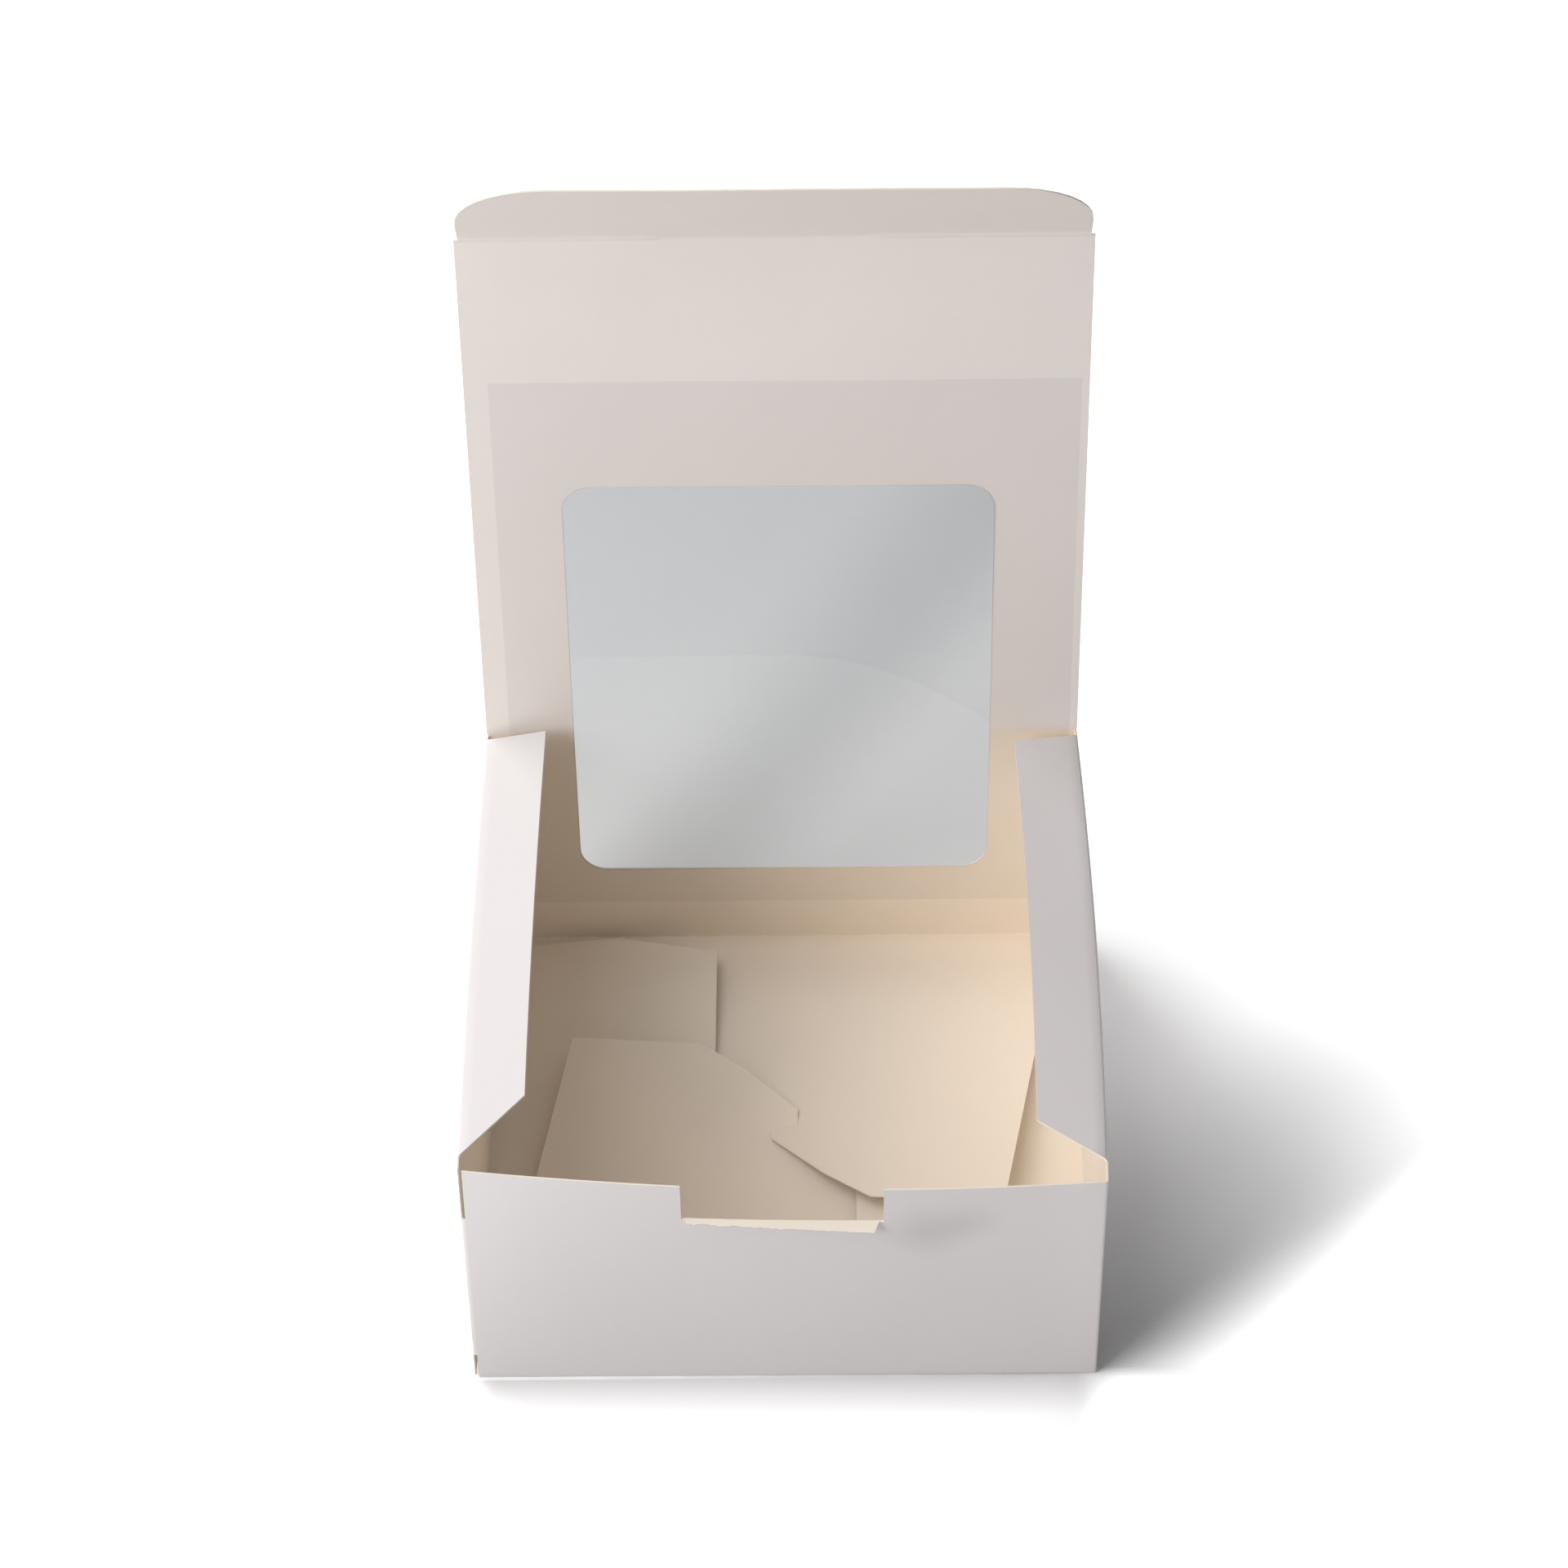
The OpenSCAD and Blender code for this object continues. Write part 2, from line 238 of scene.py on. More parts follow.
class PastryBoxLid(bpy.types.PropertyGroup):
    """The lid, its window and the tuck flap."""

    window_width: length("Window width", "Width of the window", 107 * MM)
    window_up: length("Window reach", "Reach of the window up the lid", 76.5 * MM)
    window_sill: length("Window sill", "Height of the window's lower edge", 26 * MM)
    window_radius: length("Window radius", "Radius of the window's corners", 7 * MM)
    tuck_length: length("Tuck length", "Length of the tuck flap", 30 * MM)
    tuck_radius: length("Tuck radius", "Radius of the tuck flap's corners", 21.5 * MM)
    tuck_bend: angle("Tuck bend", "Angle that the tuck flap is bent in", 35)
    score_start: length("Score, left end", "Where the score line stops, from the middle", 27.2 * MM)
    score_end: length("Score, right end", "Where the score line goes on, from the middle", 21.6 * MM)
    score_bead: length("Score bead", "Height of the bead that the scoring rule pressed up", 0.25 * MM)
    film_width: length("Film width", "Width of the film", 144 * MM)
    film_shift: length("Film shift", "Sideways place of the film's middle", 2 * MM)
    film_up: length("Film reach", "Reach of the film up the lid", 108 * MM)
    film_low: length("Film low edge", "Height of the film's lower edge", 14 * MM)
    film_thickness: length("Film", "Thickness of the film", 0.12 * MM)


class PastryBoxFinish(bpy.types.PropertyGroup):
    """The colours of the finishes."""

    outside: colour("Outside", "Clay coating of the board", "#DDD8D7")
    # The tray's copy of the uncoated back is warmer than the lid's: painted warm bounce light inside the
    # tray
    inside: colour("Inside", "Uncoated back of the board, in the tray", "#F5E9DA")
    lid_inside: colour("Lid inside", "Uncoated back of the board, on the lid", "#F3EBE6")
    edge: colour("Cut edge", "Die-cut edge of the board", "#F4ECDF")
    torn: colour("Torn ply", "Fibres of the torn lip", "#F5F2EC")
    film: colour("Film", "Haze of the film", "#9CA4AB")
    floor: colour("Floor", "Pale floor", "#E4E4E4")


def add_node(tree, kind, settings, inputs):
    """Adds a node, gives it its settings, and sets or links its inputs by name or number."""
    made = tree.nodes.new(kind)
    for name, value in settings.items():
        setattr(made, name, value)
    for name, value in inputs.items():
        if isinstance(value, bpy.types.NodeSocket):
            tree.links.new(value, made.inputs[name])
        else:
            made.inputs[name].default_value = value
    return made


def combine(tree, operation, *values):
    """The outcome of a Math node."""
    return add_node(tree, "ShaderNodeMath", {"operation": operation}, dict(enumerate(values))).outputs[0]


def vector_math(tree, operation, *values):
    """The outputs of a Vector Math node, by name."""
    return add_node(tree, "ShaderNodeVectorMath", {"operation": operation}, dict(enumerate(values))).outputs


def ramp(tree, value, places, levels, curve="SMOOTHSTEP"):
    """A value that runs between two levels while another one runs between two places."""
    return add_node(tree, "ShaderNodeMapRange", {"interpolation_type": curve}, {
        "Value": value, "From Min": places[0], "From Max": places[1],
        "To Min": levels[0], "To Max": levels[1]}).outputs["Result"]


def new_material(name):
    """An empty material, its node tree and its output node."""
    material = bpy.data.materials.new(name)
    material.use_nodes = True
    tree = material.node_tree
    tree.nodes.clear()
    output = tree.nodes.new("ShaderNodeOutputMaterial")
    return material, tree, output


def sheet_material(name, base, tone, cloud_size, fibre_size, roughness, bump, darker_patches=()):
    """Board: cloudy formation and fibres in the colour, and the fibres again as a faint relief."""
    material, tree, output = new_material(name)
    place = add_node(tree, "ShaderNodeTexCoord", {}, {}).outputs["Object"]
    clouds = add_node(tree, "ShaderNodeTexNoise", {}, {
        "Vector": place, "Scale": 1 / cloud_size, "Detail": 3.0, "Roughness": 0.55})
    stretched = add_node(tree, "ShaderNodeMapping", {}, {"Vector": place, "Scale": (1, 2.4, 2.4)})
    fibres = add_node(tree, "ShaderNodeTexNoise", {}, {
        "Vector": stretched.outputs["Vector"], "Scale": 1 / fibre_size, "Detail": 6.0, "Roughness": 0.7})
    cloud_part = combine(tree, "MULTIPLY_ADD", clouds.outputs["Fac"], tone, 1 - tone * 0.5)
    fibre_part = combine(tree, "MULTIPLY_ADD", fibres.outputs["Fac"], tone * 0.8, 1 - tone * 0.4)
    shade = combine(tree, "MULTIPLY", cloud_part, fibre_part)
    # The colour is made darker in soft patches round given points
    for middle, reach, strength in darker_patches:
        distance = vector_math(tree, "DISTANCE", place, middle)["Value"]
        shade = combine(tree, "MULTIPLY", shade, ramp(tree, distance, (0, reach), (1 - strength, 1)))
    tinted = add_node(tree, "ShaderNodeVectorMath", {"operation": "SCALE"}, {
        0: tuple(base), "Scale": shade})
    relief = add_node(tree, "ShaderNodeBump", {}, {
        "Height": fibres.outputs["Fac"], "Strength": bump, "Distance": 0.05 * MM})
    shader = add_node(tree, "ShaderNodeBsdfPrincipled", {}, {
        "Base Color": tinted.outputs[0], "Roughness": roughness, "IOR": 1.45,
        "Normal": relief.outputs["Normal"]})
    tree.links.new(shader.outputs["BSDF"], output.inputs["Surface"])
    return material


def board_materials(finish, on_lid=False):
    """The board's three finishes, in the order of a piece's slots: outside, inside and cut edge."""
    # Clay-coated and calendered: white, smooth and a little shiny at a low angle
    outside = sheet_material(
        "clay_coated_board", finish.outside, 0.035, 45 * MM, 1.6 * MM, 0.5, 0.25, DARKER_PATCH_PLACES)
    # Uncoated pulp back: cream, matt and cloudy, with fibres that show; one board, but the tray's copy is
    # tinted warmer than the lid's, as painted warm bounce light inside the tray
    if on_lid:
        name, tint = "uncoated_lid_back", finish.lid_inside
    else:
        name, tint = "uncoated_back_painted_bounce", finish.inside
    inside = sheet_material(name, tint, 0.05, 30 * MM, 1.2 * MM, 0.85, 0.5)
    # Steel-rule die cut: bare fibres, paler than the face
    edge = sheet_material("die_cut_edge", finish.edge, 0.08, 6 * MM, 0.4 * MM, 0.95, 0.3)
    return [outside, inside, edge]


def arc(centre_u, centre_v, radius, start, end):
    """Points of an arc between two angles in degrees."""
    turn = [math.radians(start + (end - start) * step / ARC_STEPS) for step in range(ARC_STEPS + 1)]
    return [(centre_u + radius * math.cos(t), centre_v + radius * math.sin(t)) for t in turn]


def scored(low, high, creases=(), radius=0.0, spacing=GRID):
    """Places for the lines across a blank: evenly spaced, and close together round each crease."""
    count = max(1, round((high - low) / spacing))
    plain = [low + (high - low) * step / count for step in range(1, count)]
    plain = [place for place in plain if all(abs(place - crease) > 1.5 * radius for crease in creases)]
    close = [
        crease + radius * step / FOLD_STEPS
        for crease in creases for step in range(-FOLD_STEPS, FOLD_STEPS + 1)
    ]
    return sorted(plain + close)


def round_about(place, creases, radius):
    """The places to average so that a sharp fold comes out round, or the place alone far from a fold."""
    if any(abs(place - crease) < radius for crease in creases):
        return [place + radius * step / FOLD_STEPS for step in range(-FOLD_STEPS, FOLD_STEPS + 1)]
    return [place]


def rounded(sharp, u, v, u_creases, v_creases, radius):
    """A point of a folded sheet, with the folds of the sharp one made round."""
    points = [
        sharp(place_u, place_v)
        for place_u in round_about(u, u_creases, radius)
        for place_v in round_about(v, v_creases, radius)
    ]
    return sum(points, Vector()) / len(points)


def cut_blank(outline, u_lines, v_lines):
    """One flat sheet inside its outline, scored along lines of equal u and equal v."""
    blank = bmesh.new()
    blank.faces.new([blank.verts.new((u, v, 0)) for u, v in outline])
    for axis, places in ((0, u_lines), (1, v_lines)):
        normal = Vector((0, 0, 0))
        normal[axis] = 1
        for place in places:
            everything = blank.verts[:] + blank.edges[:] + blank.faces[:]
            bmesh.ops.bisect_plane(
                blank, geom=everything, dist=1e-7, plane_co=normal * place, plane_no=normal
            )
    return blank


def link_object(name, data):
    """An object with its data, in the scene."""
    made = bpy.data.objects.new(name, data)
    bpy.context.scene.collection.objects.link(made)
    return made


def fold_blank(name, blank, fold):
    """Keeps the flat place of each point as a UV map, folds the blank and makes it an object."""
    flat = blank.loops.layers.uv.new("blank")
    for face in blank.faces:
        face.smooth = True
        for loop in face.loops:
            loop[flat].uv = loop.vert.co.xy
    for vert in blank.verts:
        vert.co = fold(vert.co.x, vert.co.y)
    mesh = bpy.data.meshes.new(name)
    blank.to_mesh(mesh)
    blank.free()
    return link_object(name, mesh)


def thicken(piece, thickness, materials):
    """Gives a sheet its thickness behind the outer face, with the materials of face, back and edge."""
    for material in materials:
        piece.data.materials.append(material)
    solid = piece.modifiers.new("thickness", "SOLIDIFY")
    solid.thickness = thickness
    solid.offset = -1
    solid.use_even_offset = True
    solid.material_offset = min(1, len(materials) - 1)
    solid.material_offset_rim = min(2, len(materials) - 1)
    solved = piece.evaluated_get(bpy.context.evaluated_depsgraph_get())
    finished = bpy.data.meshes.new_from_object(solved)
    piece.modifiers.clear()
    piece.data = finished
    finished.name = piece.name
    finished.set_sharp_from_angle(angle=SHARP_ANGLE)
    return piece


def ripple(place, size, height):
    """A soft unevenness of a sheet at a place, with bumps of a size and a height."""
    return height * noise.noise(Vector(place) / size)


def lid_ripple(u, v):
    """The lid's own unevenness, which the film glued to it follows; none near the creases."""
    room = min(max(0, v), max(0, LID_LEN - CREASE_REACH - v))
    return ripple((u, v, 7), 50 * MM, 0.3 * MM) * min(1, room / FADE_ROOM)


def long_panel(start, bottom):
    """Outline of a long bottom panel below its wall, from left to right."""
    middle = DEPTH / 2
    centre = start + HALF
    tip = middle + bottom.hook_reach
    slit = middle - bottom.hook_slit
    left = start + bottom.side_gap
    right = start + WIDTH - bottom.side_gap
    return [
        (left, 0),
        (left, -bottom.shoulder),
        (left + bottom.taper, -middle - bottom.reach),
        (centre - bottom.fall_start, -middle - bottom.reach + bottom.fall),
        (centre - bottom.bend_out, -tip - bottom.bend_up),
        (centre + bottom.hook_width, -tip),
        (centre + bottom.hook_width, -slit),
        (right - bottom.low_taper, -slit),
        (right, -bottom.shoulder),
        (right, 0),
    ]


def short_panel(start, bottom):
    """Outline of a short side panel below its wall, from left to right."""
    middle = start + DEPTH / 2
    return [
        (start + bottom.side_end_gap, 0),
        (start + bottom.side_end_gap, -bottom.side_end),
        (start + bottom.side_end_gap + bottom.side_cut, -bottom.side_reach),
        (middle - bottom.side_stop, -bottom.side_reach),
        (start + DEPTH - bottom.side_start, 0),
    ]


def tray_outline(board, notch, bottom, flaps, lid):
    """Outline of the tray's blank: the bottom panels, the glue tab, and the walls' tops."""
    seam = board.thickness + board.seam
    outline = [(seam, 0)]
    for half in (FRONT, BACK):
        outline += long_panel(WALL_STARTS[half], bottom)
        outline += short_panel(WALL_STARTS[half + 1], bottom)
    end = WALL_STARTS[TAB]
    outline += [
        (end, 0), (end, board.tab_low), (end + board.tab_width, board.tab_low),
        (end + board.tab_width, board.tab_top), (end, board.tab_top), (end, WALL_TOP),
    ]
    flap_line = WALL_TOP - CREASE_REACH
    lid_line = HINGE.z - CREASE_REACH
    half_window = lid.window_width / 2
    sill = lid.window_sill
    radius = lid.window_radius
    middle = WALL_STARTS[BACK] + HALF
    outline += [
        (end - flaps.front, WALL_TOP), (end - flaps.front, flap_line),
        (WALL_STARTS[LEFT] + flaps.back_gap, flap_line), (WALL_STARTS[LEFT] + flaps.back_gap, WALL_TOP),
        (WALL_STARTS[LEFT], WALL_TOP), (WALL_STARTS[LEFT], lid_line),
        (middle + half_window, lid_line),
    ]
    outline += arc(middle + half_window - radius, sill + radius, radius, 0, -90)
    outline += arc(middle - half_window + radius, sill + radius, radius, -90, -180)
    outline += [
        (middle - half_window, lid_line),
        (WALL_STARTS[BACK], lid_line), (WALL_STARTS[BACK], WALL_TOP),
        (WALL_STARTS[BACK] - flaps.back_gap, WALL_TOP), (WALL_STARTS[BACK] - flaps.back_gap, flap_line),
        (WALL_STARTS[RIGHT] + flaps.right_front, flap_line),
        (WALL_STARTS[RIGHT] + flaps.right_front, WALL_TOP),
        (HALF + notch.width / 2, WALL_TOP), (HALF + notch.width / 2, WALL_TOP - notch.depth),
        (HALF - notch.width / 2, WALL_TOP - notch.depth), (HALF - notch.width / 2, WALL_TOP),
        (seam, WALL_TOP),
    ]
    return outline


def wall_bow(share, height):
    """Share of the full bow of a wall at a share of its length and a height."""
    return max(0, height / WALL_TOP) ** 1.5 * 4 * share * (1 - share)


def wall_face(board, u, height):
    """A point of the walls' outer face, with sharp corners, and the number of that wall."""
    lean = max(0, height) / WALL_TOP
    depth = 0
    if u > WALL_STARTS[TAB]:
        u -= WALL_STARTS[TAB]
        depth = board.thickness + TAB_GAP
    corners = [
        Vector((-HALF, board.lean_in * lean + depth, height)),
        Vector((HALF, -board.lean_out * lean + depth, height)),
        Vector((HALF, DEPTH, height)),
        Vector((-HALF, DEPTH, height)),
        Vector((-HALF, board.lean_in * lean + board.thickness + TAB_GAP, height)),
    ]
    bows = [board.front_bow, board.right_bow, 0, board.left_bow]
    side = max(wall for wall in (FRONT, RIGHT, BACK, LEFT) if wall == FRONT or u > WALL_STARTS[wall])
    share = (u - WALL_STARTS[side]) / (WALL_STARTS[side + 1] - WALL_STARTS[side])
    point = corners[side].lerp(corners[side + 1], share)
    return point + OUTWARD[side] * bows[side] * wall_bow(share, height), side


def panel_lift(bottom, side, u, reach):
    """Height of a bottom panel's lower face at a distance from its crease."""
    if side in (FRONT, BACK):
        across = u - WALL_STARTS[side] - HALF
        span = HALF - bottom.side_gap - bottom.hook_width
        share = min(1, max(0, (across - bottom.hook_width) / span))
        rise = bottom.rise + (bottom.low_rise - bottom.rise) * share
        return rise * reach / (DEPTH / 2 + bottom.reach)
    return bottom.side_rise * (reach / bottom.side_reach) ** 0.85


def tray_point(board, bottom, u, v):
    """A point of the tray's outer face with sharp folds: a wall above its crease, a panel below."""
    if v >= 0:
        return wall_face(board, u, v)[0]
    foot, side = wall_face(board, u, 0)
    lift = panel_lift(bottom, side, u, -v)
    return foot + OUTWARD[side] * v + Vector((0, 0, lift))


def slit_places(bottom):
    """Start and end of each slit in the long panels' perforated creases."""
    places = []
    count = int((WIDTH - 2 * bottom.side_gap) / bottom.slit_pitch)
    for wall in (FRONT, BACK):
        run = (count - 1) * bottom.slit_pitch + bottom.slit
        first = WALL_STARTS[wall] + HALF - run / 2
        places += [(first + step * bottom.slit_pitch, first + step * bottom.slit_pitch + bottom.slit)
                   for step in range(count)]
    return places


class PASTRYBOX_OT_tray(bpy.types.Operator):
    """Folds the tray: four walls, the glue tab and the lock bottom"""

    bl_idname = "pastrybox.tray"
    bl_label = "Tray"

    def execute(self, context):
        scene = context.scene
        board, bottom = scene.pastrybox_board, scene.pastrybox_bottom
        radius = board.fold_radius
        slits = slit_places(bottom)
        outline = tray_outline(
            board, scene.pastrybox_notch, bottom, scene.pastrybox_flaps, scene.pastrybox_lid
        )
        u_creases = WALL_STARTS[RIGHT:]
        u_lines = scored(0, WALL_STARTS[TAB] + board.tab_width, u_creases, radius)
        u_lines += [place for slit in slits for place in slit]
        v_lines = scored(-DEPTH / 2 - bottom.reach, WALL_TOP, [0], radius) + [bottom.slit_gap]
        blank = cut_blank(outline, u_lines, v_lines)
        cut_away = [
            face for face in blank.faces
            if 0 < face.calc_center_median().y < bottom.slit_gap
            and any(start < face.calc_center_median().x < end for start, end in slits)
        ]
        bmesh.ops.delete(blank, geom=cut_away, context="FACES")

        def fold(u, v):
            point = rounded(lambda a, b: tray_point(board, bottom, a, b), u, v, u_creases, [0], radius)
            side = wall_face(board, u, v)[1]
            room = min([max(0, v)] + [abs(u - crease) for crease in u_creases])
            if side != BACK:
                point += OUTWARD[side] * ripple((u, v, 0), 38 * MM, 0.25 * MM) * min(1, room / FADE_ROOM)
            return point

        tray = fold_blank("tray_board", blank, fold)
        thicken(tray, board.thickness, board_materials(scene.pastrybox_finish))
        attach(tray, "tray")
        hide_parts("box_tray")
        return {"FINISHED"}


class PASTRYBOX_OT_torn_lip(bpy.types.Operator):
    """Hangs the torn lip out of the bottom of the thumb notch"""

    bl_idname = "pastrybox.torn_lip"
    bl_label = "Torn lip"

    def execute(self, context):
        scene = context.scene
        board, notch, finish = scene.pastrybox_board, scene.pastrybox_notch, scene.pastrybox_finish
        half = notch.width / 2 - notch.lip_inset
        height = WALL_TOP - notch.depth
        blank = bmesh.new()
        bmesh.ops.create_grid(blank, x_segments=90, y_segments=4, size=0.5)

        def fold(across, along):
            share = across + 0.5
            coarse = abs(noise.noise(Vector((share * 31, 0.3, 0))))
            fine = abs(noise.noise(Vector((share * 90, 5, 0))))
            reach = notch.lip_short + (notch.lip_long - notch.lip_short) * share ** 1.2
            reach += (1 - share) * (coarse + 0.5 * fine) * 1.1 * MM
            droop = notch.droop_left + (notch.droop_right - notch.droop_left) * share
            u = HALF + half * (2 * share - 1) - (along + 0.5) * share * 1.2 * MM
            root = wall_face(board, u, height)[0] + Vector((0, board.thickness * 0.4, 0.02 * MM))
            out = Vector((0, -math.cos(droop), -math.sin(droop)))
            return root + out * reach * (along + 0.5)

        lip = fold_blank("torn_lip", blank, fold)
        inside, edge = board_materials(finish)[1:]
        # Rough fibres of the ply that came away with the lip, the brightest white on the box
        torn_ply = sheet_material("torn_fibres", finish.torn, 0.1, 4 * MM, 0.5 * MM, 0.95, 1.0)
        thicken(lip, LIP_THICKNESS, [torn_ply, inside, edge])
        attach(lip, "tray")
        return {"FINISHED"}


def flap_outline(flaps, start):
    """Outline of a dust flap's blank: its crease along u from its start, its free edge along v."""
    end = DEPTH - flaps.back_gap
    return [
        (start, -CREASE_REACH), (end, -CREASE_REACH), (end, 0),
        (end - flaps.back_taper, flaps.width),
        (flaps.front + flaps.chamfer, flaps.width), (start, 0),
    ]


def make_flap(scene, name, node, side, rise):
    """One dust flap on the left (-1) or the right (1), folded in from the top of its wall."""
    board, flaps = scene.pastrybox_board, scene.pastrybox_flaps
    wall = RIGHT if side > 0 else LEFT
    start = flaps.right_front if side > 0 else flaps.front
    inward = Vector((-side * math.cos(rise), 0, math.sin(rise)))
    blank = cut_blank(
        flap_outline(flaps, start), scored(start, DEPTH),
        scored(-CREASE_REACH, flaps.width, [0], board.fold_radius),
    )
    if side < 0:
        bmesh.ops.reverse_faces(blank, faces=blank.faces[:])

    def sharp(u, v):
        place = WALL_STARTS[RIGHT] + u if side > 0 else WALL_STARTS[TAB] - u
        crease = wall_face(board, place, WALL_TOP)[0]
        if v < 0:
            return wall_face(board, place, WALL_TOP + v)[0]
        return crease + Vector((0, 0, board.thickness)) + inward * v

    def fold(u, v):
        point = rounded(sharp, u, v, [], [0], board.fold_radius)
        share = max(0, v) / flaps.width
        return point + Vector((0, 0, ripple((u, v, wall), 45 * MM, 0.25 * MM) * share))

    flap = fold_blank(name, blank, fold)
    thicken(flap, board.thickness, board_materials(scene.pastrybox_finish))
    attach(flap, "tray")
    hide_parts(node)
    return flap


class PASTRYBOX_OT_dust_flaps(bpy.types.Operator):
    """Folds the two dust flaps in"""

    bl_idname = "pastrybox.dust_flaps"
    bl_label = "Dust flaps"

    def execute(self, context):
        scene = context.scene
        flaps = scene.pastrybox_flaps
        left = make_flap(scene, "left_flap_board", "left_dust_flap", -1, flaps.left_rise)
        make_flap(scene, "right_flap_board", "right_dust_flap", 1, flaps.right_rise)
        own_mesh(left)
        return {"FINISHED"}


class PASTRYBOX_OT_lid(bpy.types.Operator):
    """Cuts the lid with its window and bends it over the hinge crease"""

    bl_idname = "pastrybox.lid"
    bl_label = "Lid"

    def execute(self, context):
        scene = context.scene
        board, lid = scene.pastrybox_board, scene.pastrybox_lid
        radius = board.fold_radius
        half_window = lid.window_width / 2
        corner = lid.window_radius
        top = LID_LEN - CREASE_REACH
        outline = [(-HALF, -CREASE_REACH), (-half_window, -CREASE_REACH)]
        outline += arc(-half_window + corner, lid.window_up - corner, corner, 180, 90)
        outline += arc(half_window - corner, lid.window_up - corner, corner, 90, 0)
        outline += [(half_window, -CREASE_REACH), (HALF, -CREASE_REACH), (HALF, top), (-HALF, top)]
        blank = cut_blank(outline, scored(-HALF, HALF), scored(-CREASE_REACH, top, [0], radius))

        def sharp(u, v):
            run = LID_UP * v if v > 0 else Vector((0, 0, v))
            return HINGE + Vector((-u, 0, 0)) + run

        def fold(u, v):
            return rounded(sharp, u, v, [], [0], radius) + LID_IN * lid_ripple(u, v)

        panel = fold_blank("lid_board", blank, fold)
        thicken(panel, board.thickness, board_materials(scene.pastrybox_finish, on_lid=True))
        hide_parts("lid_panel")
        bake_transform(panel)
        return {"FINISHED"}


class PASTRYBOX_OT_tuck_flap(bpy.types.Operator):
    """Bends the tuck flap in over its crease at the end of the lid"""

    bl_idname = "pastrybox.tuck_flap"
    bl_label = "Tuck flap"

    def execute(self, context):
        scene = context.scene
        board, lid = scene.pastrybox_board, scene.pastrybox_lid
        radius = board.fold_radius
        inset = lid.tuck_radius
        bend = lid.tuck_bend
        tuck_up = LID_UP * math.cos(bend) + LID_IN * math.sin(bend)
        tuck_in = LID_IN * math.cos(bend) - LID_UP * math.sin(bend)
        outline = [(-HALF, -CREASE_REACH), (HALF, -CREASE_REACH), (HALF, 0), (TUCK_HALF, 0)]
        outline += arc(TUCK_HALF - inset, lid.tuck_length - inset, inset, 0, 90)
        outline += arc(-TUCK_HALF + inset, lid.tuck_length - inset, inset, 90, 180)
        outline += [(-TUCK_HALF, 0), (-HALF, 0)]
        score_stops = [lid.score_start, lid.score_start + MM, -lid.score_end, -lid.score_end - MM]
        blank = cut_blank(
            outline, scored(-HALF, HALF) + score_stops,
            scored(-CREASE_REACH, lid.tuck_length, [0], radius),
        )

        def sharp(u, v):
            run = tuck_up if v > 0 else LID_UP
            return FOLD + Vector((-u, 0, 0)) + run * v

        def fold(u, v):
            share = max(0, v) / lid.tuck_length
            point = rounded(sharp, u, v, [], [0], radius)
            scored_part = min(1, max(0, u - lid.score_start, -u - lid.score_end) / MM)
            bead = lid.score_bead * scored_part * max(0, 1 - (v / radius) ** 2)
            slack = ripple((u, v, 3), 60 * MM, 0.5 * MM) * share + 0.8 * MM * share ** 2
            return point + tuck_in * (slack + bead)

        tuck = fold_blank("tuck_board", blank, fold)
        thicken(tuck, board.thickness, board_materials(scene.pastrybox_finish, on_lid=True))
        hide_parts("tuck_flap")
        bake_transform(tuck)
        return {"FINISHED"}


def film_material(finish, lid):
    """Clear film: hazy where it spans the window, and almost gone where it is glued to the board."""
    # Stretched clear film, glossy, that greys what is behind it
    material, tree, output = new_material("clear_window_film")
    flat = add_node(tree, "ShaderNodeUVMap", {"uv_map": "blank"}, {}).outputs["UV"]
    sill = lid.window_sill - HINGE.z
    radius = lid.window_radius
    middle = (lid.window_up + sill) / 2
    core = (lid.window_width / 2 - radius, (lid.window_up - sill) / 2 - radius, 0)
    # How far a point lies outside the window's core, whose corners are the centres of its round corners
    centred = vector_math(tree, "SUBTRACT", flat, (0, middle, 0))["Vector"]
    folded = vector_math(tree, "ABSOLUTE", centred)["Vector"]
    past_core = vector_math(tree, "SUBTRACT", folded, core)["Vector"]
    beyond = vector_math(tree, "MAXIMUM", past_core, (0, 0, 0))["Vector"]
    edge_distance = vector_math(tree, "LENGTH", beyond)["Value"]
    free = ramp(tree, edge_distance, (radius, radius + 0.2 * MM), (1, 0), "LINEAR")
    # Painted shade: the film is made hazier, and so greyer, above a curved line, towards its top and in a
    # band at a slant, and clearer past that band
    place = add_node(tree, "ShaderNodeSeparateXYZ", {}, {"Vector": flat}).outputs
    sag = combine(tree, "POWER", combine(tree, "MINIMUM", place["X"], 0), 2)
    line_level = combine(tree, "MULTIPLY_ADD", sag, LINE_SAG, place["Y"])
    above_line = ramp(tree, line_level, FILM_SHADE_LINE, (0, 1), "LINEAR")
    climb = ramp(tree, place["Y"], (sill, lid.window_up), (0.16, 0.27), "LINEAR")
    slant = vector_math(tree, "DOT_PRODUCT", flat, PAINTED_BAND_ACROSS)["Value"]
    into_band = ramp(tree, slant, (-30 * MM, 2 * MM), (0, 0.07))
    past_band = ramp(tree, slant, (4 * MM, 36 * MM), (0, -0.14))
    painted_shade_band = combine(tree, "ADD", into_band, past_band)
    density = combine(tree, "ADD", climb, combine(tree, "MULTIPLY_ADD", above_line, 0.02, painted_shade_band))
    haze = add_node(tree, "ShaderNodeTexNoise", {}, {
        "Vector": flat, "Scale": 1 / (40 * MM), "Detail": 2.0})
    clouded = combine(tree, "MULTIPLY_ADD", haze.outputs["Fac"], 0.03, density)
    alpha = ramp(tree, free, (0, 1), (0.03, clouded), "LINEAR")
    shader = add_node(tree, "ShaderNodeBsdfPrincipled", {}, {
        "Base Color": (*finish.film, 1), "Roughness": 0.25, "IOR": 1.49, "Alpha": alpha})
    tree.links.new(shader.outputs["BSDF"], output.inputs["Surface"])
    return material


